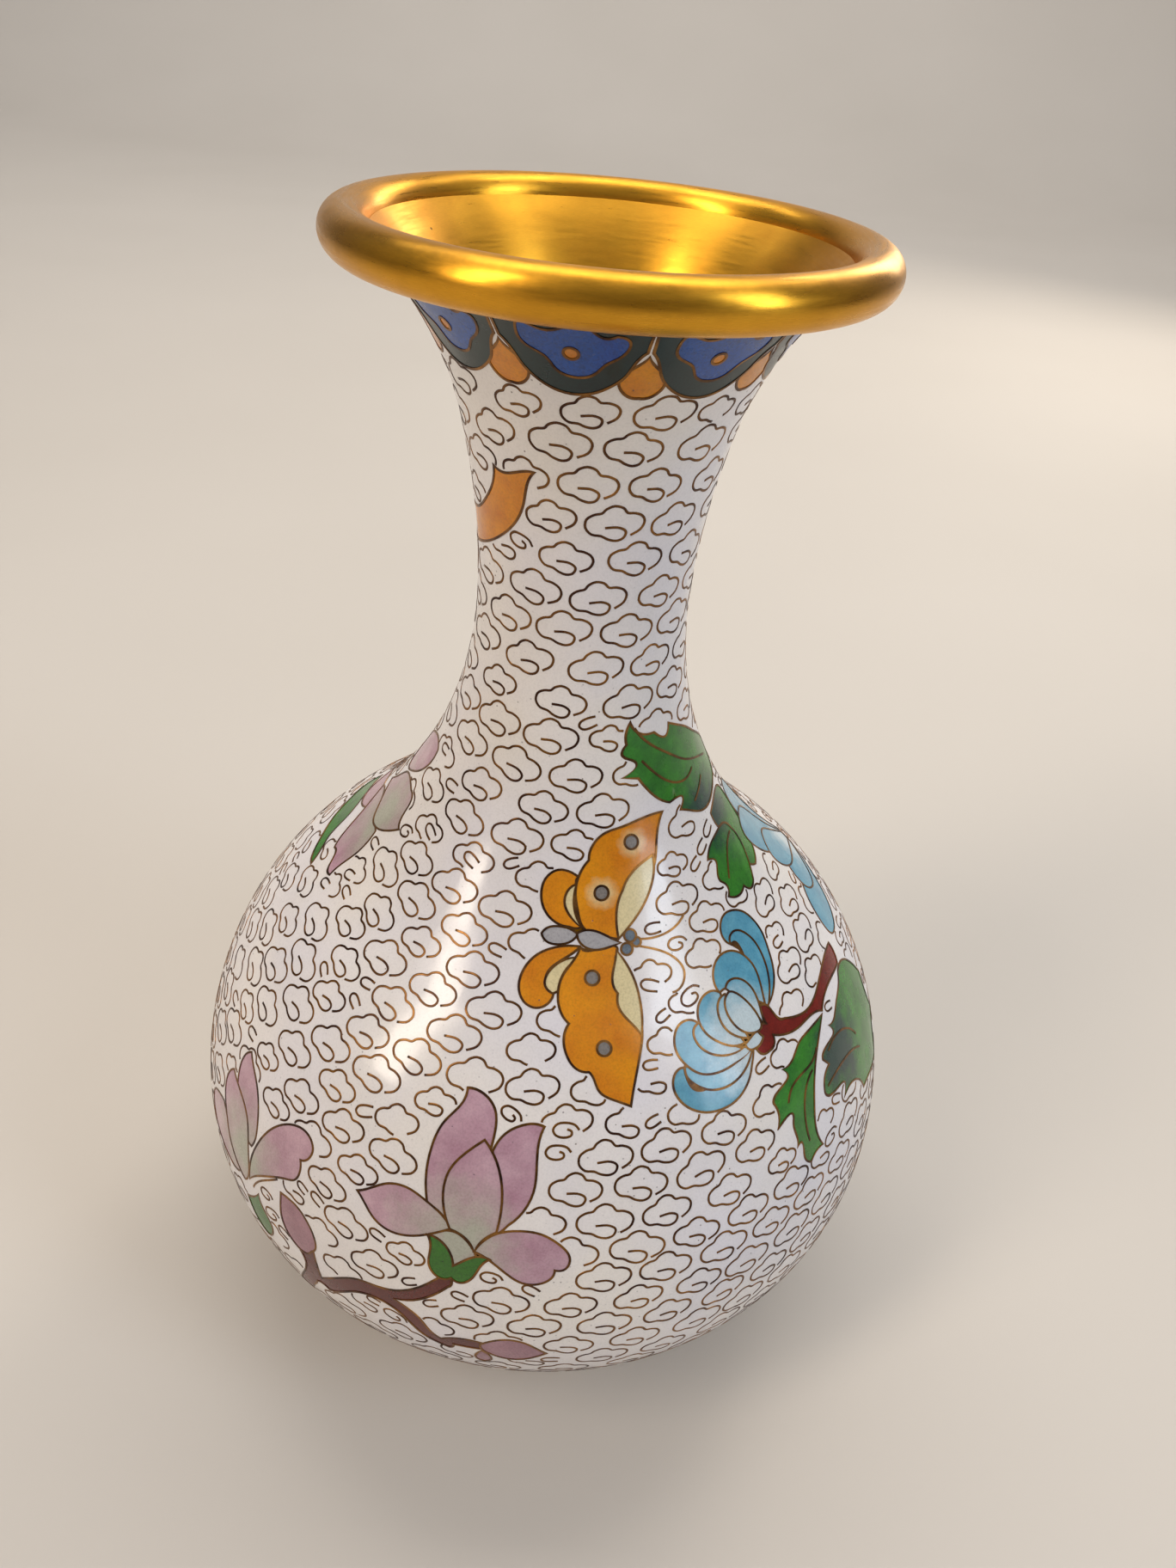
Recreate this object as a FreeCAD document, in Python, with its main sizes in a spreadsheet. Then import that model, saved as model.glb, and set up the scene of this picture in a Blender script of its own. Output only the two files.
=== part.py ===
import FreeCAD, Part
import Sketcher
import math
import os
from FreeCAD import Placement, Rotation, Vector

doc = FreeCAD.newDocument("cloisonne_vase")

# ---------------------------------------------------------------------------
# driving dimensions, millimetres and degrees
# ---------------------------------------------------------------------------
DIMENSIONS = [
    ("equator_radius", 66.21), ("equator_height", 48.35),
    ("belly_arc", 60.07), ("lower_arc", 35.47),
    ("foot_arc", 96.2), ("foot_angle", 54.4), ("lower_angle", 35.0),
    ("shoulder_angle", 52.07), ("shoulder_arc", 68.57),
    ("waist_radius", 16.6), ("neck_arc", 113.14), ("neck_angle", 13.88),
    ("flare_arc", 44.63), ("enamel_end_angle", 46.2), ("flare_end_angle", 47.35),
    ("enamel_depth", 0.8), ("shell_depth", 1.6), ("lining_depth", 2.0),
    ("wire_proud", 0.08), ("wire_width", 0.36),
    ("bead_radius", 35.17), ("bead_thickness", 3.232), ("overall_height", 203.0),
    ("foot_outer", 38.4), ("foot_inner", 34.6), ("foot_height", 5.6), ("foot_round", 0.9),
    ("base_height", 5.6), ("base_radius", 36.2), ("base_thickness", 0.8), ("base_enamel", 0.5),
    ("seat_depth", 16.0), ("seat_rise", 9.0), ("collar_count", 9),
]
sheet = doc.addObject("Spreadsheet::Sheet", "dims")
value = {}
for row, (alias, number) in enumerate(DIMENSIONS, start=1):
    sheet.set("A%d" % row, alias)
    sheet.set("B%d" % row, str(number))
    sheet.setAlias("B%d" % row, alias)
    value[alias] = number
doc.recompute()


def polar(centre_r, centre_z, arc, angle):
    a = math.radians(angle)
    return centre_r + arc * math.cos(a), centre_z + arc * math.sin(a)


# ---------------------------------------------------------------------------
# outer profile: tangent arcs from the foot up to the rim.  Each station is
# (radius, height, angle of the outward normal above level)
# ---------------------------------------------------------------------------
equator = (value["equator_radius"], value["equator_height"], 0.0)
lower_centre = (equator[0] - value["lower_arc"], equator[1])
lower = polar(*lower_centre, value["lower_arc"], -value["lower_angle"]) + (-value["lower_angle"],)
foot_centre = polar(lower[0], lower[1], -(value["foot_arc"]), -value["lower_angle"])
foot = polar(*foot_centre, value["foot_arc"], -value["foot_angle"]) + (-value["foot_angle"],)
belly_centre = (equator[0] - value["belly_arc"], equator[1])
shoulder = polar(*belly_centre, value["belly_arc"], value["shoulder_angle"]) + (value["shoulder_angle"],)
shoulder_centre = polar(shoulder[0], shoulder[1], value["shoulder_arc"], value["shoulder_angle"])
waist = (value["waist_radius"], shoulder_centre[1], 0.0)
neck_centre = (waist[0] + value["neck_arc"], waist[1])
neck = polar(*neck_centre, -value["neck_arc"], -value["neck_angle"]) + (-value["neck_angle"],)
flare_centre = polar(neck[0], neck[1], value["flare_arc"], -value["neck_angle"])


def flare(angle):
    return polar(*flare_centre, -value["flare_arc"], -angle) + (-angle,)


# arcs between stations: (centre, radius, +1 where the wall bulges or -1 where it hollows)
ARCS = [
    (foot_centre, value["foot_arc"], 1), (lower_centre, value["lower_arc"], 1),
    (belly_centre, value["belly_arc"], 1), (shoulder_centre, value["shoulder_arc"], -1),
    (neck_centre, value["neck_arc"], -1), (flare_centre, value["flare_arc"], -1),
]
STATIONS = [foot, lower, equator, shoulder, waist, neck]
ARC_NAMES = ["foot_arc", "lower_arc", "belly_arc", "shoulder_arc", "neck_arc", "flare_arc"]


def surface_at(height):
    """Radius and outward normal angle of the outer surface at a height."""
    tops = [station[1] for station in STATIONS[1:]] + [1000.0]
    index = [height <= top for top in tops].index(True)
    (centre_r, centre_z), arc, side = ARCS[index]
    angle = math.asin(side * (height - centre_z) / arc)
    return centre_r + side * arc * math.cos(angle), math.degrees(angle)


# ---------------------------------------------------------------------------
# turned parts: one sketch per ring, bound to the sheet
# ---------------------------------------------------------------------------
def turned_body(label, points, curves, bindings):
    """points are (r, z); curves give, for each side, None or (centre, radius, name)."""
    body = doc.addObject("PartDesign::Body", label + "_body")
    sketch = body.newObject("Sketcher::SketchObject", label + "_sketch")
    plane = [o for o in body.Origin.OriginFeatures if o.Role == "XZ_Plane"][0]
    sketch.AttachmentSupport = [(plane, "")]
    sketch.MapMode = "FlatFace"
    count = len(points)
    ends = []
    for i in range(count):
        a = Vector(points[i][0], points[i][1], 0)
        b = Vector(points[(i + 1) % count][0], points[(i + 1) % count][1], 0)
        if curves[i] is None:
            sketch.addGeometry(Part.LineSegment(a, b), False)
            ends.append((1, 2))
            continue
        # an arc is always drawn counter-clockwise, so its ends may swap
        centre = Vector(curves[i][0][0], curves[i][0][1], 0)
        from_angle = math.atan2(a.y - centre.y, a.x - centre.x)
        sweep = (math.atan2(b.y - centre.y, b.x - centre.x) - from_angle) % (2 * math.pi)
        circle = Part.Circle(centre, Vector(0, 0, 1), curves[i][1])
        if sweep < math.pi:
            sketch.addGeometry(Part.ArcOfCircle(circle, from_angle, from_angle + sweep), False)
            ends.append((1, 2))
        else:
            to_angle = from_angle + sweep
            sketch.addGeometry(Part.ArcOfCircle(circle, to_angle, from_angle + 2 * math.pi), False)
            ends.append((2, 1))
    rules = []
    links = []
    for i in range(count):
        rules.append(Sketcher.Constraint("Coincident", i, ends[i][1], (i + 1) % count, ends[(i + 1) % count][0]))
    for i in range(count):
        for kind, axis in (("DistanceX", 0), ("DistanceY", 1)):
            links.append((len(rules), bindings[i][axis]))
            rules.append(Sketcher.Constraint(kind, -1, 1, i, ends[i][0], points[i][axis]))
        if curves[i] is not None:
            links.append((len(rules), curves[i][2]))
            rules.append(Sketcher.Constraint("Radius", i, curves[i][1]))
    sketch.addConstraint(rules)
    for index, text in links:
        if text:
            sketch.setExpression("Constraints[%d]" % index, text)
    turn = body.newObject("PartDesign::Revolution", label + "_turn")
    turn.Profile = sketch
    turn.ReferenceAxis = (sketch, ["V_Axis"])
    turn.Angle = 360
    sketch.Visibility = False
    body.Tip = turn
    doc.recompute()
    return body


def wall(label, stations, first_arc, outer_name, inner_name):
    """A ring of wall between two depths below the outer surface."""
    def depth_of(name):
        return -value["wire_proud"] if name == "wire_proud" else value.get(name, 0.0)

    def depth_text(name):
        if name == "surface":
            return "0"
        return "(-dims.wire_proud)" if name == "wire_proud" else "dims." + name

    def side(name):
        shift = depth_of(name)
        points = []
        texts = []
        for r, z, angle in stations:
            a = math.radians(angle)
            points.append((r - shift * math.cos(a), z - shift * math.sin(a)))
            texts.append(("%.9f - %s * cos(%.9f)" % (r, depth_text(name), angle),
                          "%.9f - %s * sin(%.9f)" % (z, depth_text(name), angle)))
        return points, texts

    def arc_side(name):
        shift = depth_of(name)
        found = []
        for i in range(len(stations) - 1):
            centre, radius, bulge = ARCS[first_arc + i]
            text = "dims.%s - %d * %s" % (ARC_NAMES[first_arc + i], bulge, depth_text(name))
            found.append((centre, radius - bulge * shift, text, bulge))
        return found

    outer_points, outer_texts = side(outer_name)
    inner_points, inner_texts = side(inner_name)
    outer_arcs = arc_side(outer_name)
    inner_arcs = arc_side(inner_name)
    points = outer_points + inner_points[::-1]
    texts = outer_texts + inner_texts[::-1]
    curves = outer_arcs + [None] + inner_arcs[::-1] + [None]
    return turned_body(label, points, curves, texts)


rim_for_enamel = flare(value["enamel_end_angle"])
rim_for_shell = flare(value["flare_end_angle"])
belly_stations = [foot, lower, equator, shoulder]
neck_stations = [shoulder, waist, neck, rim_for_shell]
all_stations = [foot, lower, equator, shoulder, waist, neck, rim_for_enamel]

belly_shell = wall("belly_shell", belly_stations, 0, "enamel_depth", "shell_depth")
neck_shell = wall("neck_shell", neck_stations, 3, "enamel_depth", "shell_depth")
lining = wall("inner_enamel", [foot, lower, equator, shoulder, waist], 0, "shell_depth", "lining_depth")
enamel_coat = wall("enamel_coat", all_stations, 0, "surface", "enamel_depth")
wire_coat = wall("wire_coat", all_stations, 0, "wire_proud", "enamel_depth")


# ---------------------------------------------------------------------------
# helpers for the rest of the metalwork
# ---------------------------------------------------------------------------
def cylinder(name, radius_text, height_text, base_text):
    item = doc.addObject("Part::Cylinder", name)
    item.setExpression("Radius", radius_text)
    item.setExpression("Height", height_text)
    item.setExpression("Placement.Base.z", base_text)
    return item


def cut(name, base, tool):
    item = doc.addObject("Part::Cut", name)
    item.Base = base
    item.Tool = tool
    return item


bead = doc.addObject("Part::Torus", "bead")
bead.setExpression("Radius1", "dims.bead_radius")
bead.setExpression("Radius2", "dims.bead_thickness")
bead.setExpression("Placement.Base.z", "dims.overall_height - dims.bead_thickness")
mouth_ring = cut("mouth_ring", cut("bead_off_shell", bead, neck_shell), enamel_coat)

rr = value["foot_round"]
foot_points = [
    (value["foot_inner"], rr), (value["foot_inner"] + rr, 0.0),
    (value["foot_outer"] - rr, 0.0), (value["foot_outer"], rr),
    (value["foot_outer"], value["foot_height"]), (value["foot_inner"], value["foot_height"]),
]
foot_curves = [
    ((value["foot_inner"] + rr, rr), rr, "dims.foot_round"), None,
    ((value["foot_outer"] - rr, rr), rr, "dims.foot_round"), None, None, None,
]
foot_texts = [
    ("dims.foot_inner", "dims.foot_round"), ("dims.foot_inner + dims.foot_round", ""),
    ("dims.foot_outer - dims.foot_round", ""), ("dims.foot_outer", "dims.foot_round"),
    ("dims.foot_outer", "dims.foot_height"), ("dims.foot_inner", "dims.foot_height"),
]
foot_blank = turned_body("foot_blank", foot_points, foot_curves, foot_texts)
foot_one = cut("foot_off_shell", foot_blank, belly_shell)
foot_two = cut("foot_off_coat", foot_one, enamel_coat)
foot_three = cut("foot_off_lining", foot_two, lining)

base_disc = cylinder("base_disc", "dims.base_radius", "dims.base_thickness", "dims.base_height")
base_one = cut("base_off_shell", base_disc, belly_shell)
base_two = cut("base_off_lining", base_one, lining)
base_three = cut("base_off_coat", base_two, enamel_coat)
base_enamel = cylinder("base_enamel_disc", "dims.foot_inner", "dims.base_enamel",
                       "dims.base_height - dims.base_enamel")
doc.recompute()


# ---------------------------------------------------------------------------
# decoration.  Each drawing is made flat, in millimetres across and up, on the
# plane that touches the vase at one place, then cut through the enamel coat.
# An outline is a list of smooth runs that meet at corners; one run alone is
# a smooth closed curve.
# ---------------------------------------------------------------------------
HALF_WIRE = value["wire_width"] / 2
SLIVER_AREA = 0.5
SPECK_AREA = 0.05
CRUMB_VOLUME = 0.3


def seat(azimuth, height):
    """Placement of the drawing plane: across is x, up is y, outward is z."""
    radius, tilt = surface_at(height)
    a = math.radians(azimuth)
    t = math.radians(tilt)
    out = Vector(math.cos(t) * math.sin(a), -math.cos(t) * math.cos(a), math.sin(t))
    across = Vector(math.cos(a), math.sin(a), 0)
    up = out.cross(across)
    base = Vector(radius * math.sin(a), -radius * math.cos(a), height)
    return Placement(base, Rotation(across, up, out, "ZXY"))


def flat(points):
    return [Vector(x, y, 0) for x, y in points]


def smooth(points, closed=False):
    curve = Part.BSplineCurve()
    curve.interpolate(flat(points), PeriodicFlag=closed)
    return curve


def outward_normals(points, closed, sense):
    """Unit normals of the smooth curve at its own points."""
    curve = smooth(points, closed)
    found = []
    for point in flat(points):
        along = curve.tangent(curve.parameter(point))[0]
        found.append((along.y * sense, -along.x * sense))
    return found


def area_of(points):
    total = 0.0
    for i in range(len(points)):
        x0, y0 = points[i - 1]
        x1, y1 = points[i]
        total += x0 * y1 - x1 * y0
    return total / 2


def grown_face(runs, distance):
    """Face inside an outline, after its edge moves outwards by a distance."""
    sense = 1 if area_of([p for run in runs for p in run]) > 0 else -1
    if len(runs) == 1:
        run = runs[0]
        normals = outward_normals(run, True, sense)
        moved = [(p[0] + n[0] * distance, p[1] + n[1] * distance) for p, n in zip(run, normals)]
        return Part.Face(Part.Wire([smooth(moved, True).toShape()]))
    whole = [run + [runs[(i + 1) % len(runs)][0]] for i, run in enumerate(runs)]
    normals = [outward_normals(run, False, sense) for run in whole]
    corners = []
    for i, run in enumerate(whole):
        n0 = normals[i - 1][-1]
        n1 = normals[i][0]
        turn = max(1 + n0[0] * n1[0] + n0[1] * n1[1], 0.45)
        corners.append((run[0][0] + distance * (n0[0] + n1[0]) / turn,
                        run[0][1] + distance * (n0[1] + n1[1]) / turn))
    edges = []
    for i, run in enumerate(whole):
        inner = [(p[0] + n[0] * distance, p[1] + n[1] * distance)
                 for p, n in list(zip(run, normals[i]))[1:-1]]
        moved = [corners[i]] + inner + [corners[(i + 1) % len(whole)]]
        edges.append(smooth(moved).toShape())
    return Part.Face(Part.Wire(edges))


def ribbon_face(points, width=value["wire_width"]):
    """Face of a wire laid along an open curve."""
    normals = outward_normals(points, False, 1)
    half = width / 2
    left = [(p[0] + n[0] * half, p[1] + n[1] * half) for p, n in zip(points, normals)]
    right = [(p[0] - n[0] * half, p[1] - n[1] * half) for p, n in zip(points, normals)][::-1]
    sides = [smooth(left), smooth([left[-1], right[0]]), smooth(right), smooth([right[-1], left[0]])]
    return Part.Face(Part.Wire([side.toShape() for side in sides]))


def disc_face(centre, radius):
    circle = Part.Circle(Vector(centre[0], centre[1], 0), Vector(0, 0, 1), radius)
    return Part.Face(Part.Wire([circle.toShape()]))


def mirrored(runs):
    return [[(-x, y) for x, y in run] for run in runs]


def fan_petal(base, angle, length, width):
    """Petal of a side-on flower: a narrow foot at the base and a round tip."""
    shape = [[(0.05, 0.12), (0.4, 0.38), (0.8, 0.5), (1.0, 0.1), (0.86, -0.42), (0.4, -0.36)], [(0.05, -0.12)]]
    a = math.radians(angle)
    runs = []
    for run in shape:
        points = []
        for along, aside in run:
            x = along * length
            y = aside * width
            points.append((base[0] + x * math.cos(a) - y * math.sin(a),
                           base[1] + x * math.sin(a) + y * math.cos(a)))
        runs.append(points)
    return runs


class Drawing:
    """Flat faces of one drawing, laid from the front to the back."""

    def __init__(self, azimuth, height, under=()):
        self.place = seat(azimuth, height)
        self.under = list(under)
        self.fills = {}
        self.wires = []
        self.front = []

    def clear_of_front(self, face):
        for front in self.front:
            if face.BoundBox.intersect(front.BoundBox):
                face = face.cut(front)
        return face

    def cell(self, colour, runs):
        outer = grown_face(runs, HALF_WIRE)
        inner = grown_face(runs, -HALF_WIRE)
        self.lay(colour, outer, inner)

    def dot(self, colour, centre, radius):
        self.lay(colour, disc_face(centre, radius + HALF_WIRE), disc_face(centre, radius - HALF_WIRE))

    def lay(self, colour, outer, inner):
        self.wires += self.clear_of_front(outer.cut(inner)).Faces
        for face in self.clear_of_front(inner).Faces:
            if face.Area > SLIVER_AREA:
                self.fills.setdefault(colour, []).append(face)
            else:
                self.wires.append(face)
        self.front.append(outer)

    def line(self, points):
        face = ribbon_face(points)
        self.wires += self.clear_of_front(face).Faces
        self.front.append(face)


def whole_area(faces):
    return sum(face.Area for face in faces)


def merged(faces):
    """One face where the faces touch, or the faces as they are if the join loses area."""
    if len(faces) == 1:
        return faces
    joined = faces[0].fuse(faces[1:]).removeSplitter().Faces
    return joined if abs(whole_area(joined) - whole_area(faces)) < 0.2 else faces


def outline_of(drawing):
    """Faces that cover the whole drawing."""
    cells = [face for faces in drawing.fills.values() for face in faces] + drawing.wires
    return merged([face for face in cells if face.Area > SPECK_AREA])


def through(drawing, faces):
    """Solids standing on flat faces, long enough to pass through the coat."""
    solids = []
    for face in faces:
        low = face.translated(Vector(0, 0, -value["seat_depth"]))
        solid = low.extrude(Vector(0, 0, value["seat_depth"] + value["seat_rise"]))
        solid.Placement = drawing.place
        solids.append(solid)
    return solids


# --- butterfly on the shoulder -------------------------------------------------
butterfly = Drawing(9.0, 103.45)
for centre in ((7.2, 17.5), (2.35, 9.6), (0.6, -3.5), (2.0, -14.2)):
    butterfly.dot("butterfly_eyespots", centre, 1.12)
for centre, radius in (((6.9, 2.9), 1.0), ((6.3, 0.8), 0.95), ((7.9, 1.9), 0.75)):
    butterfly.dot("butterfly_head", centre, radius)
butterfly.cell("butterfly_body", [
    [(-1.6, 3.4), (0.2, 3.9), (1.9, 3.5), (3.7, 2.6)],
    [(5.4, 1.8), (3.2, 1.1), (0.5, 0.9), (-1.1, 1.9)]])
butterfly.cell("butterfly_body", [
    [(-7.1, 3.6), (-6.0, 4.5), (-4.4, 4.6), (-2.6, 4.1)],
    [(-1.5, 3.3), (-2.6, 2.2), (-4.5, 1.8), (-6.2, 2.2)]])
butterfly.cell("butterfly_patches", [
    [(10.9, 15.5), (11.1, 12.8), (10.4, 10.0), (9.0, 7.2), (7.2, 4.8)],
    [(5.0, 2.4), (4.7, 5.0), (4.9, 7.6)],
    [(5.8, 10.0), (7.0, 12.3), (8.6, 13.9)]])
butterfly.cell("butterfly_patches", [
    [(4.6, 0.6), (6.1, -1.4), (7.5, -4.4), (8.2, -7.8), (8.3, -10.4)],
    [(8.0, -12.4), (6.6, -10.7), (5.1, -9.0)],
    [(4.6, -6.0), (3.8, -4.1), (4.1, -2.0)]])
butterfly.cell("butterfly_wings", [
    [(12.6, 22.4), (9.4, 21.4), (5.2, 19.7), (2.9, 18.9), (0.9, 17.0)],
    [(0.3, 14.7), (-1.3, 12.2), (-1.8, 9.6), (-1.5, 7.2), (-0.6, 4.3)],
    [(1.8, 3.4), (3.4, 2.7)],
    [(5.0, 2.4), (7.0, 8.0), (11.2, 14.0), (11.6, 18.0)]])
butterfly.cell("butterfly_wings", [
    [(-1.1, 1.3), (1.6, 0.9), (4.7, 1.1)],
    [(4.4, -0.4), (7.2, -6.5), (8.2, -12.0), (7.6, -15.5), (6.7, -19.2)],
    [(5.9, -23.0), (3.4, -22.0), (0.9, -20.4), (0.0, -18.2)],
    [(-0.5, -17.6), (-2.5, -17.0), (-3.9, -14.8), (-4.2, -12.6)],
    [(-3.3, -10.3), (-4.6, -8.2), (-4.8, -5.6), (-4.1, -3.2), (-2.7, -1.3)]])
butterfly.cell("butterfly_patches", [
    [(-1.6, 11.0), (-2.8, 10.3), (-3.5, 8.4), (-2.7, 6.2)],
    [(-1.0, 4.4), (-1.9, 6.8), (-2.0, 9.2)]])
butterfly.cell("butterfly_patches", [
    [(-1.2, -0.3), (-3.9, -0.7), (-5.8, -2.0), (-6.8, -3.9)],
    [(-5.6, -5.7)], [(-4.8, -5.4), (-4.4, -3.8), (-3.2, -1.8)]])
butterfly.cell("butterfly_wings", [
    [(-1.3, 12.1), (-2.9, 13.1), (-4.6, 13.3), (-6.3, 12.2), (-7.1, 9.8), (-6.7, 7.4), (-5.3, 5.5)],
    [(-2.9, 4.5), (-1.0, 4.4), (-1.0, 8.0)]])
butterfly.cell("butterfly_wings", [
    [(-1.2, 1.4), (-5.4, 1.3), (-8.2, 0.1), (-10.1, -2.1), (-10.8, -4.7), (-9.9, -7.0), (-8.1, -7.8),
     (-6.3, -7.1)],
    [(-5.5, -5.7), (-6.6, -4.6), (-6.4, -2.6), (-4.4, -0.8)]])
butterfly.line([(8.6, 2.3), (11.4, 2.6), (14.2, 3.8), (16.2, 5.9)])
butterfly.line([(8.4, 1.2), (11.2, 0.6), (14.0, -0.6), (15.8, -2.8), (15.4, -5.0), (13.6, -6.2)])

# --- ochre butterfly on the side of the neck --------------------------------------
ochre_wing = [
    [(6.8, 4.8), (4.7, 4.5), (2.0, 3.6)],
    [(-0.4, 4.0), (-0.7, 2.2), (-3.2, -1.8), (-7.6, -5.3), (-11.6, -6.8)],
    [(-13.0, -9.0), (-11.0, -11.6)],
    [(-9.6, -11.5), (-3.4, -8.8), (0.0, -6.5), (2.6, -4.0), (4.6, -0.4), (5.6, 3.0)]]
neck_right = Drawing(-45.0, 168.79)
neck_right.cell("neck_butterfly_wings", ochre_wing)
neck_left = Drawing(-153.0, 168.79)
neck_left.cell("neck_butterfly_wings", mirrored(ochre_wing))
neck_body = Drawing(-99.0, 160.0, [neck_right, neck_left])
neck_body.cell("neck_butterfly_body", [
    [(0.0, 5.6), (1.4, 2.0), (1.0, -2.6), (0.0, -5.4), (-1.0, -2.6), (-1.4, 2.0)]])
for side in (1, -1):
    neck_body.cell("neck_butterfly_wings", [
        [(side * 1.1, 1.6), (side * 4.2, 0.6), (side * 6.0, -2.6), (side * 5.0, -6.8)],
        [(side * 2.8, -8.6), (side * 2.2, -5.0), (side * 0.9, -1.6)]])

# --- magnolias ----------------------------------------------------------------
calyx = [
    [(-4.8, -4.3), (-2.4, -4.9), (-0.9, -6.5)], [(-0.2, -8.8), (1.6, -7.2), (3.4, -6.1)],
    [(5.4, -6.2), (3.9, -8.2), (3.0, -10.4), (1.4, -11.8)],
    [(-0.3, -11.3), (-2.3, -11.8), (-4.0, -10.0), (-4.1, -7.0)]]
open_petals = [
    [[(1.7, 12.9), (4.0, 10.2), (5.5, 6.5), (6.0, 2.5)],
     [(5.8, -1.2), (4.2, -2.6), (3.4, -3.8)],
     [(2.8, -5.3), (1.4, -3.4), (-0.4, -2.5)],
     [(-1.4, -2.3), (-2.6, 0.3), (-3.3, 4.0), (-2.8, 7.3), (-0.8, 10.4)]],
    [[(-17.3, -1.0), (-14.6, 0.7), (-12.4, 2.1), (-9.4, 2.6), (-5.6, 1.3), (-3.0, -0.2)],
     [(-1.2, -2.2), (-4.8, -4.3), (-8.0, -5.6), (-11.4, -5.8), (-14.0, -4.6), (-15.8, -2.6)]],
    [[(2.8, -5.3), (4.0, -3.1), (6.0, -1.3), (9.0, -0.3), (12.4, -0.3), (15.4, -1.7), (17.4, -4.2),
      (17.1, -5.9)],
     [(15.4, -6.5), (15.1, -8.0), (13.4, -9.4), (11.0, -9.7), (8.6, -8.6), (6.2, -6.9)]],
    [[(-4.8, -4.2), (-2.8, -3.0), (-0.5, -2.6), (1.4, -3.6)], [(3.2, -6.0), (0.0, -9.4)]],
    [[(-2.4, 19.7), (0.4, 19.3), (2.4, 17.5), (3.0, 15.0)], [(2.9, 12.0), (1.0, 4.0)],
     [(-1.4, -2.0), (-3.2, 0.0)], [(-5.5, 1.0), (-6.4, 6.0), (-6.2, 10.2), (-4.9, 14.3), (-2.7, 17.6)]],
    [[(10.2, 16.3), (9.8, 13.6), (10.2, 10.0), (10.4, 7.0), (9.5, 3.4)], [(7.4, 0.4), (5.9, -1.4)],
     [(4.6, 5.0), (3.4, 12.2), (4.6, 14.4), (6.6, 15.9), (8.6, 16.5)]],
]
bud = [
    [(-1.8, 0.6), (0.0, 2.2), (2.9, 3.2), (5.4, 2.6), (7.5, 0.9)],
    [(9.0, -0.5), (7.1, -2.1), (5.0, -3.3), (2.5, -3.5), (0.2, -2.5), (-1.5, -1.0)]]
small_bud = [[(-1.3, -1.7), (-0.4, -2.8), (0.1, -4.2), (-0.6, -5.9), (-1.8, -6.0), (-2.6, -4.3), (-2.2, -2.7)]]
tall_bud = [
    [(-13.2, 11.2), (-11.2, 11.5), (-8.8, 11.3), (-6.6, 10.0), (-4.9, 7.8), (-4.4, 5.6)],
    [(-5.4, 3.7), (-7.6, 1.9), (-9.9, 2.6), (-11.9, 4.4), (-12.9, 6.8), (-13.1, 9.2)]]
branch = [
    [(18.4, 12.6), (19.2, 13.0), (19.9, 12.2)],
    [(19.6, 10.6), (17.6, 8.0), (14.6, 5.3)],
    [(11.1, 3.7), (13.4, 2.7), (15.6, 1.0), (17.3, -1.7)],
    [(19.1, -3.3), (21.0, -2.1)], [(25.8, -1.9), (26.0, -3.0)], [(25.6, -4.0), (23.2, -4.2)],
    [(21.0, -4.3), (20.9, -5.2)], [(20.2, -5.9), (18.2, -5.0), (16.2, -3.8), (14.0, -1.3), (11.8, 0.8),
                                   (9.2, 1.8), (5.6, 1.4), (2.8, -0.3), (0.0, -3.0)],
    [(-2.0, -4.4), (-3.0, -3.8), (-3.9, -3.8)], [(-5.0, -5.2), (-6.6, -8.5)],
    [(-8.0, -12.4), (-9.4, -12.6)], [(-10.9, -12.2), (-10.0, -9.6), (-8.7, -6.4), (-7.3, -3.0)],
    [(-6.9, -0.8), (-7.2, 0.4)], [(-8.0, 1.6), (-6.0, 3.2)], [(-5.0, 4.9), (-4.5, 2.2)],
    [(-3.4, -1.9), (-1.0, 0.3), (1.5, 2.5), (4.4, 4.3), (8.0, 5.0), (11.6, 6.1), (14.6, 8.2),
     (17.0, 10.8)]]
low_petals = [
    [[(-9.0, 7.0), (-6.5, 6.1), (-3.0, 5.0), (-0.5, 3.0), (1.0, -0.6), (2.0, -4.4), (1.9, -8.4)],
     [(0.8, -9.8), (-2.9, -8.5), (-6.0, -6.0), (-8.4, -2.5), (-10.2, 0.3), (-10.9, 3.2)]],
    [[(3.1, -0.6), (4.4, 3.4), (6.2, 7.0), (8.6, 9.9), (11.2, 11.6), (13.6, 11.9), (15.6, 10.4),
      (15.6, 8.6)],
     [(14.1, 6.9), (14.7, 4.8), (14.1, 2.6), (12.1, 1.1), (9.8, -0.6), (7.0, -3.0), (4.4, -5.5)],
     [(2.6, -8.0), (2.5, -4.0)]],
    [[(-5.6, 13.4), (-3.6, 12.1), (-1.1, 10.6), (1.2, 8.0), (2.5, 4.9), (2.9, 2.2)],
     [(2.2, -0.4), (-1.0, 0.0), (-6.4, 6.0), (-7.3, 8.6), (-7.4, 10.4)]],
    [[(-10.2, -1.4), (-14.0, -2.6), (-17.2, -5.6), (-16.6, -9.6), (-12.0, -11.6)],
     [(-4.0, -11.4), (-1.0, -9.0), (-6.0, -4.0)]],
]
low_calyx = [
    [(5.7, -8.6), (7.4, -11.2), (9.6, -13.4), (9.4, -15.6)], [(7.5, -17.6), (5.2, -17.2), (3.2, -15.6)],
    [(1.6, -13.2), (3.6, -11.6)]]
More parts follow.
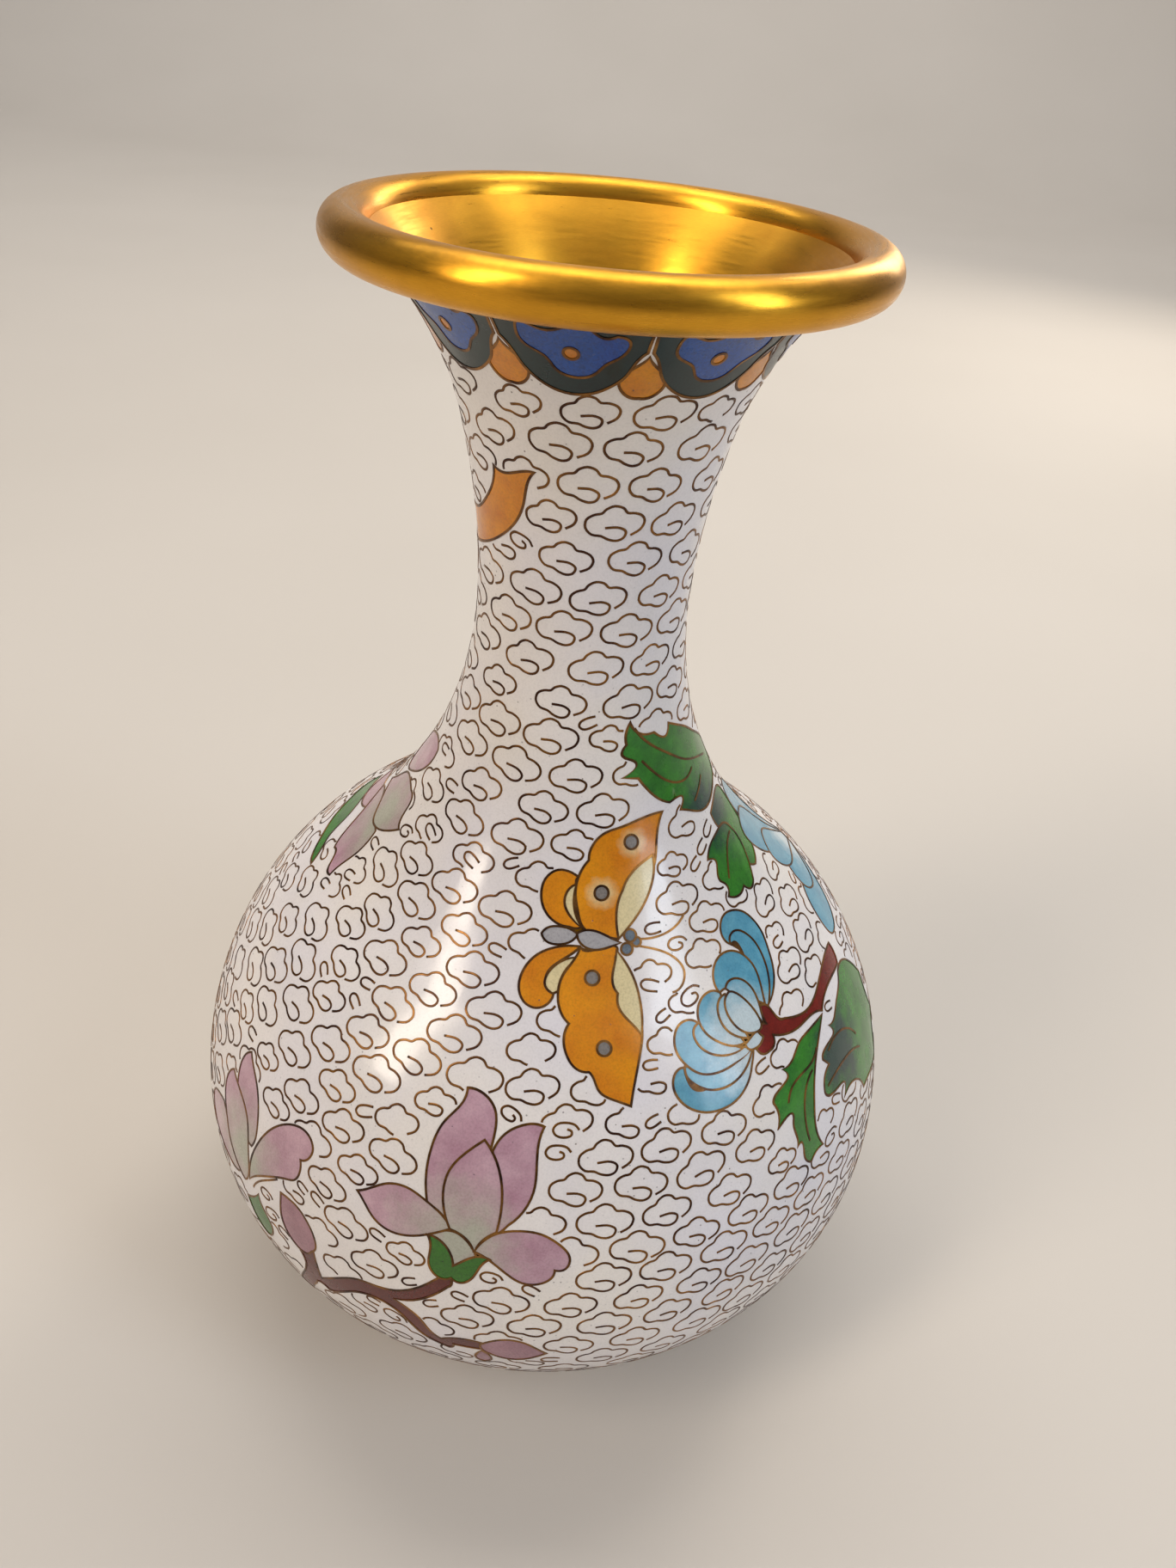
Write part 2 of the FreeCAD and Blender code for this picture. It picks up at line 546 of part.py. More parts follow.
side_petals = [
    [[(7.0, -0.9), (5.0, 1.2), (4.4, 3.2)], [(1.8, 4.1), (-1.6, 4.1), (-5.2, 3.0), (-8.0, 0.4)],
     [(-11.4, -2.8), (-8.4, -3.8), (-4.7, -5.3), (-1.7, -6.6), (1.6, -5.9), (4.4, -3.9)]],
    [[(2.2, -6.2), (3.2, -9.0), (3.4, -12.0), (3.2, -14.4)], [(3.8, -17.4), (1.0, -17.3), (-0.4, -16.3)],
     [(-3.0, -16.3), (-5.4, -14.4), (-7.6, -11.0), (-9.8, -8.0)], [(-12.0, -5.4), (-8.0, -4.4), (-2.0, -5.6)]],
    [[(2.1, 13.4), (0.0, 14.0), (-5.0, 12.6), (-9.4, 10.0)], [(-11.0, 6.0), (-6.9, 3.2), (-3.2, 4.7),
                                                             (0.3, 7.4), (2.2, 10.8)]],
    [[(-8.4, -9.0), (-12.0, -11.0), (-16.0, -11.0), (-19.6, -8.6)], [(-20.6, -5.4), (-16.0, -5.2),
                                                                    (-11.8, -5.6)]],
]
side_leaf = [
    [(-22.6, -9.6), (-17.6, -10.9), (-11.4, -13.8), (-8.4, -17.8), (-4.8, -19.8)],
    [(-2.9, -21.6), (-5.4, -21.6), (-9.4, -20.3), (-15.0, -18.4), (-20.0, -15.8), (-23.6, -13.2)]]


def magnolia(azimuth, height):
    flower = Drawing(azimuth, height)
    flower.cell("magnolia_calyxes", calyx)
    for petal in open_petals:
        flower.cell("magnolia_petals", petal)
    return flower


front_magnolia = magnolia(-10.0, 71.7)
front_bud = Drawing(-4.0, 45.35)
front_bud.cell("magnolia_buds", bud)
front_bud.cell("magnolia_buds", small_bud)
front_branch = Drawing(-28.0, 48.35, [front_magnolia, front_bud])
front_branch.cell("magnolia_buds", tall_bud)
front_branch.cell("magnolia_branches", branch)
left_magnolia = Drawing(-50.0, 62.2, [front_branch])
left_magnolia.cell("magnolia_calyxes", low_calyx)
left_magnolia.line([(10.4, -0.6), (7.4, -3.6), (5.2, -6.2), (4.0, -8.6)])
for petal in low_petals:
    left_magnolia.cell("magnolia_petals", petal)
side_magnolia = Drawing(-78.0, 109.64)
for petal in side_petals:
    side_magnolia.cell("magnolia_petals", petal)
side_magnolia.cell("leaves", side_leaf)
back_magnolia = magnolia(-137.0, 71.7)
back_branch = Drawing(-155.0, 48.35, [back_magnolia])
back_branch.cell("magnolia_buds", tall_bud)
back_branch.cell("magnolia_branches", branch)

# --- blue flowers -----------------------------------------------------------------
blue_petals = [
    [[(-0.2, 4.5), (-1.7, 3.3), (-2.1, 1.0), (-1.1, -1.6), (1.0, -3.1), (3.0, -3.0), (3.3, -0.9), (2.4, 2.0),
      (1.2, 3.9)]],
    [[(-0.2, 5.3), (1.5, 6.1), (3.5, 5.3), (4.7, 3.2), (4.6, 0.3)], [(3.8, -2.6), (2.6, 0.4), (1.2, 3.0)]],
    [[(-0.8, 4.6), (-2.6, 4.1), (-3.7, 2.4), (-3.5, -0.5), (-2.2, -2.2)], [(-0.2, -3.4), (-0.6, -1.0)]],
    [[(-1.5, 5.1), (-2.8, 6.1), (-4.5, 6.1), (-6.4, 5.0), (-7.4, 3.2), (-7.2, 0.7), (-5.9, -1.3),
      (-3.9, -3.0)], [(-1.3, -3.7), (-2.0, 0.0)]],
    [[(-1.6, 5.2), (-1.6, 7.3), (-0.5, 9.1), (1.6, 10.3), (4.0, 10.2), (6.2, 8.7), (7.3, 6.2), (6.9, 3.2)],
     [(5.8, -0.2), (3.8, 2.0), (1.0, 5.0)]],
    [[(-7.6, 2.8), (-9.2, 1.9), (-9.4, 0.2), (-8.1, -2.2), (-5.6, -3.8)], [(-2.2, -4.3), (-5.0, -1.5)]],
    [[(-7.8, 2.9), (-8.8, 3.9), (-10.6, 4.1), (-12.4, 2.8), (-13.2, 0.4), (-12.5, -2.2), (-11.0, -4.2),
      (-8.5, -5.4)], [(-5.0, -5.7), (-1.0, -4.8), (-4.0, -3.0)]],
    [[(-12.9, -2.0), (-13.3, -3.4), (-12.4, -5.4), (-10.8, -7.0), (-8.1, -8.1), (-4.8, -8.0), (-2.2, -6.8)],
     [(-0.5, -5.2), (-6.0, -4.6)]],
    [[(-13.1, -2.1), (-14.4, -2.0), (-15.7, -3.2), (-16.0, -5.4), (-14.9, -7.9), (-12.6, -9.9),
      (-9.7, -10.9), (-6.7, -10.9), (-3.9, -9.7)], [(-1.7, -7.4), (-0.3, -5.0), (-6.0, -6.0)]],
    [[(4.9, 11.0), (5.4, 12.2), (7.0, 12.6), (8.9, 11.5), (10.2, 9.2), (10.3, 6.6), (9.3, 3.3)],
     [(7.2, 0.2), (5.9, -0.9), (6.0, 5.0)]],
    [[(4.9, 11.0), (3.9, 12.6), (4.4, 14.5), (6.1, 15.8), (8.6, 15.7), (10.9, 14.5), (12.4, 12.3),
      (12.9, 9.8), (12.4, 7.3), (11.1, 3.8), (9.0, 1.1)], [(6.3, -0.7), (8.0, 5.0)]],
]
flower_foot = [[(-1.4, -3.9), (0.8, -3.3), (2.8, -3.4)], [(3.2, -4.6), (1.6, -5.3)], [(0.0, -5.4), (-1.2, -4.8)]]
flower_stem = [
    [(4.6, 0.0), (6.2, -0.8), (6.8, -2.6)],
    [(8.6, -4.0), (11.5, -4.9), (14.8, -5.1), (18.2, -4.0), (21.0, -2.4), (24.2, -0.6)],
    [(30.0, 1.6), (30.4, -0.6)], [(29.8, -2.4), (23.2, -4.1), (20.7, -5.2)],
    [(18.5, -7.0), (15.2, -6.3), (10.7, -6.7), (7.3, -6.3)],
    [(4.7, -5.2), (4.2, -6.6)], [(2.6, -7.1), (1.0, -6.8)], [(0.3, -5.5), (1.8, -5.1)],
    [(2.6, -4.5), (2.0, -3.4)], [(2.0, -2.1), (3.4, -2.6)], [(4.3, -3.0), (4.2, -1.4)]]
far_petals = [(155.0, 17.5, 8.0), (186.0, 16.0, 8.0), (203.0, 24.0, 9.0), (138.0, 25.5, 9.0), (122.0, 28.0, 9.0)]
notched_leaf = [
    [(0.0, 8.2), (-3.0, 8.5), (-6.0, 8.8), (-9.0, 8.8), (-11.4, 7.9)],
    [(-14.8, 8.0), (-14.4, 6.3), (-16.8, 5.8)],
    [(-19.3, 4.7), (-19.2, 2.9)], [(-20.5, 0.5), (-18.4, 0.9), (-16.8, 0.6)],
    [(-16.9, -0.4), (-17.5, -2.0), (-17.5, -3.6)], [(-18.1, -5.5), (-17.2, -5.2)],
    [(-17.0, -7.4), (-16.9, -9.2)], [(-15.8, -10.5), (-14.8, -9.9)],
    [(-12.0, -10.0), (-12.8, -7.5), (-12.7, -5.0), (-11.7, -2.4), (-10.0, 0.6), (-7.5, 3.5), (-4.4, 5.8)]]
wide_leaf = [
    [(-8.0, -2.2), (-6.4, 0.2)], [(-4.3, 0.8), (-5.0, 2.0)], [(-5.4, 2.6), (-2.5, 3.6), (0.6, 3.9)],
    [(0.0, 5.7), (2.6, 5.3), (5.0, 6.3), (8.0, 7.2)], [(11.6, 9.0), (16.0, 8.4), (19.4, 5.4)],
    [(22.4, 1.4), (22.0, -3.6)], [(24.0, -7.6), (20.0, -10.4)],
    [(19.6, -15.4), (14.6, -14.4), (10.0, -13.2)], [(6.0, -12.6), (5.0, -10.4), (2.4, -8.0)],
    [(-2.8, -7.6), (-1.6, -5.2), (-5.0, -4.3)]]
high_leaf = [
    [(-8.0, 20.8), (-6.6, 18.4)], [(-4.0, 17.5), (-1.2, 16.0)], [(-0.5, 17.6), (2.0, 16.3), (5.0, 14.8),
                                                                 (8.0, 13.0), (12.0, 11.0)],
    [(16.4, 8.2), (15.6, 4.4)], [(12.6, 2.4), (9.4, 1.0), (6.0, 0.1), (3.4, 0.4), (0.6, 1.8)],
    [(-1.6, 3.0), (-0.3, 4.5)], [(-3.5, 5.2), (-6.0, 7.4), (-7.5, 10.0)],
    [(-8.2, 11.6)], [(-10.6, 12.8), (-8.0, 14.0)], [(-9.0, 15.2), (-9.9, 16.6)], [(-9.0, 17.6), (-8.9, 19.2)]]
round_leaf = [
    [(0.5, -7.3), (2.6, -5.6), (5.6, -4.8), (9.0, -4.6)], [(11.4, -6.6), (12.6, -9.6), (11.6, -13.6)],
    [(10.0, -16.0), (7.6, -16.5)], [(6.4, -15.3), (4.0, -15.8)], [(1.3, -14.6), (2.2, -13.4)],
    [(1.3, -11.8), (1.3, -10.4), (2.2, -9.0)]]
dark_leaf = [
    [(6.2, -1.4), (8.6, -0.2), (12.4, 0.8)], [(16.0, -2.0), (17.4, -7.0), (16.6, -12.4)],
    [(13.6, -14.8), (11.6, -13.8)], [(12.0, -9.0), (9.6, -5.2)], [(7.0, -4.4), (6.4, -3.0)]]


def blue_flower(azimuth, height):
    flower = Drawing(azimuth, height)
    flower.cell("flower_petals", blue_petals[0])
    flower.cell("flower_stems", flower_stem)
    flower.cell("flower_petals", flower_foot)
    for petal in blue_petals[1:]:
        flower.cell("flower_petals", petal)
    return flower


def fan_flower(azimuth, height, base, petals, under=()):
    flower = Drawing(azimuth, height, under)
    for angle, length, width in petals:
        flower.cell("flower_petals", fan_petal(base, angle, length, width))
    return flower


far_flower = fan_flower(84.0, 97.9, (20.0, -4.0), far_petals)
near_flower = blue_flower(42.0, 92.8)
near_flower.under = [far_flower]
low_leaves = Drawing(62.0, 78.86, [near_flower, far_flower])
low_leaves.line([(-16.6, 2.6), (-13.4, 4.5), (-9.0, 4.3), (-5.6, 5.4)])
low_leaves.line([(-15.0, -6.6), (-14.2, -1.4), (-12.0, 1.8), (-8.8, 3.2)])
low_leaves.cell("leaves", notched_leaf)
low_leaves.line([(-6.6, -2.0), (-1.0, -1.9), (4.0, -2.9), (8.0, -5.0)])
low_leaves.line([(-3.0, 2.6), (2.0, 2.7), (5.4, 1.0), (8.0, -2.2)])
low_leaves.cell("leaves", wide_leaf)
high_leaves = Drawing(55.0, 116.38, [far_flower])
high_leaves.line([(-7.4, 19.6), (-5.9, 17.0), (-1.0, 12.5), (2.4, 10.2), (6.6, 8.7), (11.6, 7.4)])
high_leaves.line([(-7.0, 14.0), (-5.0, 11.0), (-2.0, 8.1), (1.4, 7.0), (4.4, 7.9)])
high_leaves.line([(2.6, 2.6), (4.6, 3.6), (7.0, 5.4)])
high_leaves.cell("leaves", high_leaf)
high_leaves.line([(3.6, -12.4), (5.6, -9.8), (8.4, -7.4), (10.4, -6.8)])
high_leaves.cell("leaves", round_leaf)
high_leaves.cell("leaves", dark_leaf)
back_flower = blue_flower(160.0, 92.8)
back_leaves = Drawing(180.0, 78.86, [back_flower])
back_leaves.line([(-16.6, 2.6), (-13.4, 4.5), (-9.0, 4.3), (-5.6, 5.4)])
back_leaves.cell("leaves", notched_leaf)

# --- collar under the rim -----------------------------------------------------------
lappet = Drawing(-8.3, 191.2)
lappet.dot("collar_dots", (0.0, 0.6), 0.95)
lappet.cell("collar_blossoms", [
    [(-6.6, 2.7), (-6.0, 4.6), (-3.6, 4.0), (-1.4, 4.5)], [(-0.4, 5.3), (2.4, 5.2), (3.6, 3.9)],
    [(5.6, 4.0), (7.0, 3.1), (6.2, 0.7), (4.1, -0.9), (2.7, -2.5), (0.3, -3.2), (-2.0, -2.3), (-3.2, -0.6),
     (-5.3, 0.5)]])
lappet.cell("collar_lappets", [
    [(-10.3, 6.6), (-9.9, 4.6), (-9.3, 2.2)],
    [(-9.0, 0.9), (-7.5, -0.9), (-6.3, -2.9), (-4.4, -4.6), (-2.2, -5.6), (0.3, -5.9), (2.6, -5.5), (4.7, -4.4),
     (6.4, -2.9), (7.5, -0.9)],
    [(9.0, 0.9), (9.3, 2.2), (9.9, 4.6)], [(10.3, 6.6), (5.4, 7.9), (0.0, 8.4), (-5.4, 7.9)]])
tongue = Drawing(11.8, 191.2, [lappet])
tongue.cell("collar_tongues", [
    [(0.0, 1.2), (0.9, -0.3), (2.2, -1.7), (2.9, -3.4), (2.2, -5.0)], [(0.0, -5.8), (-2.2, -5.0), (-2.9, -3.4),
                                                                      (-2.2, -1.7), (-0.9, -0.3)]])

# ---------------------------------------------------------------------------
# cut the drawings through the coat
# ---------------------------------------------------------------------------
GROUPS = {
    "butterfly_wires": [butterfly],
    "neck_butterfly_wires": [neck_right, neck_left, neck_body],
    "magnolia_wires": [front_magnolia, front_bud, front_branch, left_magnolia, side_magnolia, back_magnolia,
                       back_branch],
    "flower_wires": [far_flower, near_flower, low_leaves, high_leaves, back_flower, back_leaves],
    "collar_wires": [lappet, tongue],
}
for group in GROUPS.values():
    for drawing in group:
        drawing.blocks = through(drawing, outline_of(drawing))

enamel_shape = enamel_coat.Shape
wire_shape = wire_coat.Shape
pieces = {}


def collect(name, solids):
    pieces.setdefault(name, []).extend(s for s in solids if s.Volume > 0.02)


def turned_copies(shape):
    step = 360.0 / value["collar_count"]
    copies = []
    for k in range(value["collar_count"]):
        copies.append(shape.rotated(Vector(0, 0, 0), Vector(0, 0, 1), k * step))
    return copies


pockets = []
for wire_name, group in GROUPS.items():
    in_collar = wire_name == "collar_wires"
    for drawing in group:
        fronts = [block for other in drawing.under for block in other.blocks]
        if drawing is tongue:
            fronts += turned_copies(lappet.blocks[0])[1:2]
        parts = [(name, faces, enamel_shape) for name, faces in drawing.fills.items()]
        parts.append((wire_name, drawing.wires, wire_shape))
        for name, faces, coat in parts:
            for solid in through(drawing, merged(faces)):
                shape = solid.common(coat)
                for front in fronts:
                    shape = shape.cut(front)
                if in_collar:
                    shape = shape.cut(neck_shell.Shape).cut(mouth_ring.Shape)
                    collect(name, [s for copy in turned_copies(shape) for s in copy.Solids])
                else:
                    collect(name, shape.Solids)
        for block in drawing.blocks:
            pockets += turned_copies(block) if in_collar else [block]

ground = enamel_shape.copy()
for block in pockets:
    ground = ground.cut(block)
ground_enamel = doc.addObject("Part::Feature", "ground_enamel")
ground_enamel.Shape = Part.Compound([solid for solid in ground.Solids if solid.Volume > CRUMB_VOLUME])

NODES = {
    "neck_shell": neck_shell, "belly_shell": belly_shell, "inner_enamel": lining,
    "mouth_ring": mouth_ring, "foot_ring": foot_three, "base_plate": base_three,
    "base_enamel": base_enamel, "ground_enamel": ground_enamel,
}
for name, solids in pieces.items():
    item = doc.addObject("Part::Feature", name)
    item.Shape = Part.Compound(solids)
    NODES[name] = item
for name, item in NODES.items():
    item.Label = name
doc.recompute()

# ---------------------------------------------------------------------------
# check everything, then write the parts
# ---------------------------------------------------------------------------
for item in doc.Objects:
    if "Invalid" in item.State or "Error" in item.State:
        raise RuntimeError("%s did not compute" % item.Name)
for name, item in NODES.items():
    if item.Shape.isNull() or not item.Shape.isValid() or not item.Shape.Solids:
        raise RuntimeError("%s has no valid solid" % name)
os.makedirs("parts", exist_ok=True)
for name, item in NODES.items():
    item.Shape.exportStep("parts/%s.step" % name)
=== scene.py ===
"""Looks of the cloisonne vase: cloud wires, materials, stage, light and camera round the CAD frame."""

import math
import random

import bpy
from mathutils import Matrix, Vector
from mathutils.bvhtree import BVHTree


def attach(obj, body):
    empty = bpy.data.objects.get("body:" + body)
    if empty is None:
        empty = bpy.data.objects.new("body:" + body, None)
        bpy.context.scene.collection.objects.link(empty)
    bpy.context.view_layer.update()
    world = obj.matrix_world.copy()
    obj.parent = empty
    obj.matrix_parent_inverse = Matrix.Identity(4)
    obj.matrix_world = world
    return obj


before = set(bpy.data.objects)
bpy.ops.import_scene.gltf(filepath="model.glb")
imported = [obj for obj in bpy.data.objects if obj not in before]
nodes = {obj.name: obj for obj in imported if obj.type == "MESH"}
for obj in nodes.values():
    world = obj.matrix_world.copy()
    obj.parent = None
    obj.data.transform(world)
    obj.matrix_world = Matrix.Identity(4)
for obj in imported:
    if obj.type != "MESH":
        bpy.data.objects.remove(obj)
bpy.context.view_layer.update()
MM = 0.001
dice = random.Random(7)


# ---------------------------------------------------------------------------
# the vase surface, read from the CAD nodes
# ---------------------------------------------------------------------------
def whole_tree():
    """One search tree over every CAD node, and for each face the name of its node."""
    points = []
    faces = []
    owners = []
    for name, node in nodes.items():
        first = len(points)
        points.extend(v.co.copy() for v in node.data.vertices)
        for polygon in node.data.polygons:
            faces.append([first + i for i in polygon.vertices])
            owners.append(name)
    return BVHTree.FromPolygons(points, faces), owners


tree, owners = whole_tree()
LOWEST = 6.5 * MM
HIGHEST = 187.0 * MM
STEP = 0.5 * MM
OUTSIDE = 90 * MM
RAYS_ROUND = 11
FIRST_RAY = 0.37
TILT_SPAN = 3
PROBE = 4 * MM


def radius_at(height):
    """Middle one of several radii measured round the vase at a height."""
    found = []
    for k in range(RAYS_ROUND):
        a = 2 * math.pi * (k + FIRST_RAY) / RAYS_ROUND
        start = Vector((OUTSIDE * math.sin(a), -OUTSIDE * math.cos(a), height))
        hit = tree.ray_cast(start, Vector((-start.x, -start.y, 0)))[0]
        if hit:
            found.append(math.hypot(hit.x, hit.y))
    return sorted(found)[len(found) // 2]


def read_profile():
    """Rows of (distance along the wall, radius, height) from the foot to the collar."""
    rows = []
    travelled = 0.0
    count = int((HIGHEST - LOWEST) / STEP)
    for i in range(count + 1):
        height = LOWEST + i * STEP
        radius = radius_at(height)
        if rows:
            travelled += math.hypot(radius - rows[-1][1], STEP)
        rows.append((travelled, radius, height))
    return rows


profile = read_profile()
WALL_LENGTH = profile[-1][0]


def on_wall(distance):
    """(radius, height, outward tilt) at a distance along the wall."""
    low = 0
    high = len(profile) - 1
    while high - low > 1:
        middle = (low + high) // 2
        if profile[middle][0] <= distance:
            low = middle
        else:
            high = middle
    a = profile[low]
    b = profile[high]
    t = (distance - a[0]) / (b[0] - a[0])
    wide_low = profile[max(low - TILT_SPAN, 0)]
    wide_high = profile[min(high + TILT_SPAN, len(profile) - 1)]
    tilt = math.atan2(wide_low[1] - wide_high[1], wide_high[2] - wide_low[2])
    return a[1] + (b[1] - a[1]) * t, a[2] + (b[2] - a[2]) * t, tilt


def place(azimuth, distance):
    """Point on the wall and the outward direction there."""
    radius, height, tilt = on_wall(distance)
    out = Vector((math.cos(tilt) * math.sin(azimuth), -math.cos(tilt) * math.cos(azimuth), math.sin(tilt)))
    return Vector((radius * math.sin(azimuth), -radius * math.cos(azimuth), height)), out


def drawing_point(azimuth, height, across, up):
    """A point of one of the flat drawings, given in degrees and millimetres as in the CAD part."""
    index = min(range(len(profile)), key=lambda i: abs(profile[i][2] - height * MM))
    base, out = place(math.radians(azimuth), profile[index][0])
    side = Vector((math.cos(math.radians(azimuth)), math.sin(math.radians(azimuth)), 0))
    return base + side * across * MM + out.cross(side) * up * MM


def is_ground(point, out):
    """True where the white ground is the first thing met from outside."""
    hit, _, index, _ = tree.ray_cast(point + out * PROBE, -out, 2 * PROBE)
    return hit is not None and owners[index] == "ground_enamel"


# ---------------------------------------------------------------------------
# cloud wires
# ---------------------------------------------------------------------------
CLOUD = [
    (-1.5, -0.7), (0.2, -0.6), (1.3, -1.0), (1.6, -1.6), (1.2, -2.4), (0.2, -2.75), (-1.0, -2.5),
    (-2.0, -2.0), (-3.4, -1.8), (-4.3, -0.8), (-4.2, 0.5), (-3.2, 1.3), (-2.1, 1.6), (-1.5, 2.3),
    (-0.4, 2.8), (0.8, 2.5), (1.5, 1.7), (2.6, 1.6), (3.7, 1.1), (4.2, 0.1), (3.7, -1.1), (2.3, -1.9),
]
CURL = [(0.3, 0.1), (1.0, -0.2), (0.9, -0.9), (-0.2, -1.2), (-1.4, -0.9), (-1.9, 0.0), (-1.2, 0.9),
        (0.2, 1.1), (1.5, 0.8), (2.2, 0.0)]
HOOK = [(1.6, 0.75), (0.3, 0.95), (-1.0, 0.8), (-1.6, 0.1), (-1.2, -0.65), (-0.2, -0.9), (1.4, -0.8)]
WIRE_HALF = 0.195 * MM
WIRE_PROUD = 0.06 * MM
WIRE_SUNK = 0.2 * MM
CLEARANCE = 0.55 * MM
EDGE_CLEARANCE = 0.3 * MM
END_CLEARANCE = 0.5 * MM
CELL = 1.0 * MM
SHORTEST_RUN = 24
NECK_START = 112 * MM
FIRST_ROW = 4.0 * MM
FIRST_PITCH = 10.4 * MM
BELLY_PITCH = 10.3
NECK_PITCH = 9.8
BELLY_ROW = 5.2
NECK_ROW = 5.75
FILLER_START = 3.0 * MM
FILLER_PITCH = 1.9 * MM
FILLER_ROW = 1.7 * MM


def smooth_line(points, parts):
    """Points along the smooth curve through the given points."""
    padded = [points[0]] + points + [points[-1]]
    line = []
    for i in range(1, len(padded) - 2):
        p0, p1, p2, p3 = padded[i - 1:i + 3]
        for k in range(parts):
            t = k / parts
            line.append(tuple(
                0.5 * (2 * b + (c - a) * t + (2 * a - 5 * b + 4 * c - d) * t * t
                       + (3 * b - a - 3 * c + d) * t ** 3)
                for a, b, c, d in zip(p0, p1, p2, p3)))
    line.append(points[-1])
    return line


cloud_line = smooth_line(CLOUD, 3)
curl_line = smooth_line(CURL, 3)
hook_line = smooth_line(HOOK, 3)
laid = {}


def cell_of(point):
    return int(point.x // CELL), int(point.y // CELL), int(point.z // CELL)


def near_wire(point, reach):
    """True where a wire already laid is closer than the reach."""
    x, y, z = cell_of(point)
    span = int(reach // CELL) + 1
    for i in range(x - span, x + span + 1):
        for j in range(y - span, y + span + 1):
            for k in range(z - span, z + span + 1):
                for other in laid.get((i, j, k), ()):
                    if (other - point).length < reach:
                        return True
    return False


def lay_on_wall(line, azimuth, distance, size, turn):
    """The line's points on the wall, or None if it runs off an end."""
    radius = on_wall(distance)[0]
    found = []
    for x, y in line:
        across = (x * math.cos(turn) - y * math.sin(turn)) * size * MM
        along = (x * math.sin(turn) + y * math.cos(turn)) * size * MM
        if not END_CLEARANCE < distance + along < WALL_LENGTH - END_CLEARANCE:
            return None
        found.append(place(azimuth + across / radius, distance + along))
    return found


def longest_clear_run(points):
    """Longest run of points over bare ground and away from other wires."""
    best = []
    run = []
    for point, out in points:
        side = out.cross(Vector((0, 0, 1))).normalized() * EDGE_CLEARANCE
        on_ground = is_ground(point + side, out) and is_ground(point - side, out)
        if on_ground and not near_wire(point, CLEARANCE):
            run.append((point, out))
            best = run if len(run) > len(best) else best
        else:
            run = []
    return best


def remember(points):
    """Adds the points to the cells that near_wire looks in."""
    for point, _ in points:
        laid.setdefault(cell_of(point), []).append(point)


def try_cloud(azimuth, distance, base_size):
    """Lays a whole cloud if one fits nearby, otherwise the longest part of it."""
    turn = math.radians(dice.uniform(-9, 9))
    best = []
    for size, shift in ((1.0, 0.0), (0.9, 0.3), (0.9, -0.3), (0.8, 0.0)):
        points = lay_on_wall(cloud_line, azimuth, distance + shift * MM, size * base_size, turn)
        if points is None:
            continue
        run = longest_clear_run(points)
        if len(run) == len(points):
            best = run
            break
        if len(run) > len(best):
            best = run
    if len(best) < SHORTEST_RUN:
        return None
    remember(best)
    return best


def next_row(previous, pitch):
    """Places half way between the last row's, as turns from 0 to 1, dropping or adding some for the pitch."""
    count = len(previous)
    row = []
    for i in range(count):
        gap = (previous[(i + 1) % count] - previous[i]) % 1.0
        row.append((previous[i] + gap / 2) % 1.0)
    row.sort()
    wanted = max(8, round(1.0 / pitch))
    while len(row) > wanted:
        gaps = [(row[(i + 1) % len(row)] - row[i - 1]) % 1.0 for i in range(len(row))]
        row.pop(gaps.index(min(gaps)))
        row = relaxed(row, 2)
    while len(row) < wanted:
        gaps = [(row[(i + 1) % len(row)] - row[i]) % 1.0 for i in range(len(row))]
        i = gaps.index(max(gaps))
        row.append((row[i] + gaps[i] / 2) % 1.0)
        row.sort()
        row = relaxed(row, 2)
    return relaxed(row, 3)


def relaxed(row, rounds):
    """The row after each place has moved towards the middle of its neighbours."""
    for _ in range(rounds):
        count = len(row)
        moved = []
        for i in range(count):
            behind = (row[i] - row[i - 1]) % 1.0
            ahead = (row[(i + 1) % count] - row[i]) % 1.0
            moved.append((row[i] + (ahead - behind) * 0.25) % 1.0)
        row = sorted(moved)
    return row


def lay_clouds():
    """Every cloud wire, as lists of (point, outward direction)."""
    wires = []
    distance = FIRST_ROW
    radius = on_wall(distance)[0]
    count = round(2 * math.pi * radius / FIRST_PITCH)
    row = [i / count for i in range(count)]
    while distance < WALL_LENGTH - 2 * MM:
        radius, height, _ = on_wall(distance)
        on_neck = height > NECK_START
        base_size = 0.97 if on_neck else 1.0
        for turn in row:
            azimuth = 2 * math.pi * turn + dice.uniform(-0.4, 0.4) * MM / radius
            jitter = dice.uniform(-0.3, 0.3) * MM
            points = try_cloud(azimuth, distance + jitter, base_size * dice.uniform(0.93, 1.04))
            if points:
                wires.append(points)
        distance += (NECK_ROW if on_neck else BELLY_ROW) * MM
        if distance < WALL_LENGTH:
            pitch = (NECK_PITCH if on_neck else BELLY_PITCH) * MM / (2 * math.pi * on_wall(distance)[0])
            row = next_row(row, pitch)
    return wires


def lay_fillers():
    """Small curls and hooks in the gaps that the clouds leave."""
    wires = []
    distance = FILLER_START
    while distance < WALL_LENGTH - 2 * MM:
        radius = on_wall(distance)[0]
        count = int(2 * math.pi * radius / FILLER_PITCH)
        for i in range(count):
            azimuth = 2 * math.pi * (i + dice.random()) / count
            for line, reach, size in ((curl_line, 2.1, 1.0), (hook_line, 1.6, 0.9)):
                if near_wire(place(azimuth, distance)[0], reach * MM):
                    continue
                turn = math.radians(dice.uniform(-30, 30))
                points = lay_on_wall(line, azimuth, distance, size * dice.uniform(0.85, 1.1), turn)
                if points and len(longest_clear_run(points)) == len(points):
                    remember(points)
                    wires.append(points)
                    break
        distance += FILLER_ROW
    return wires


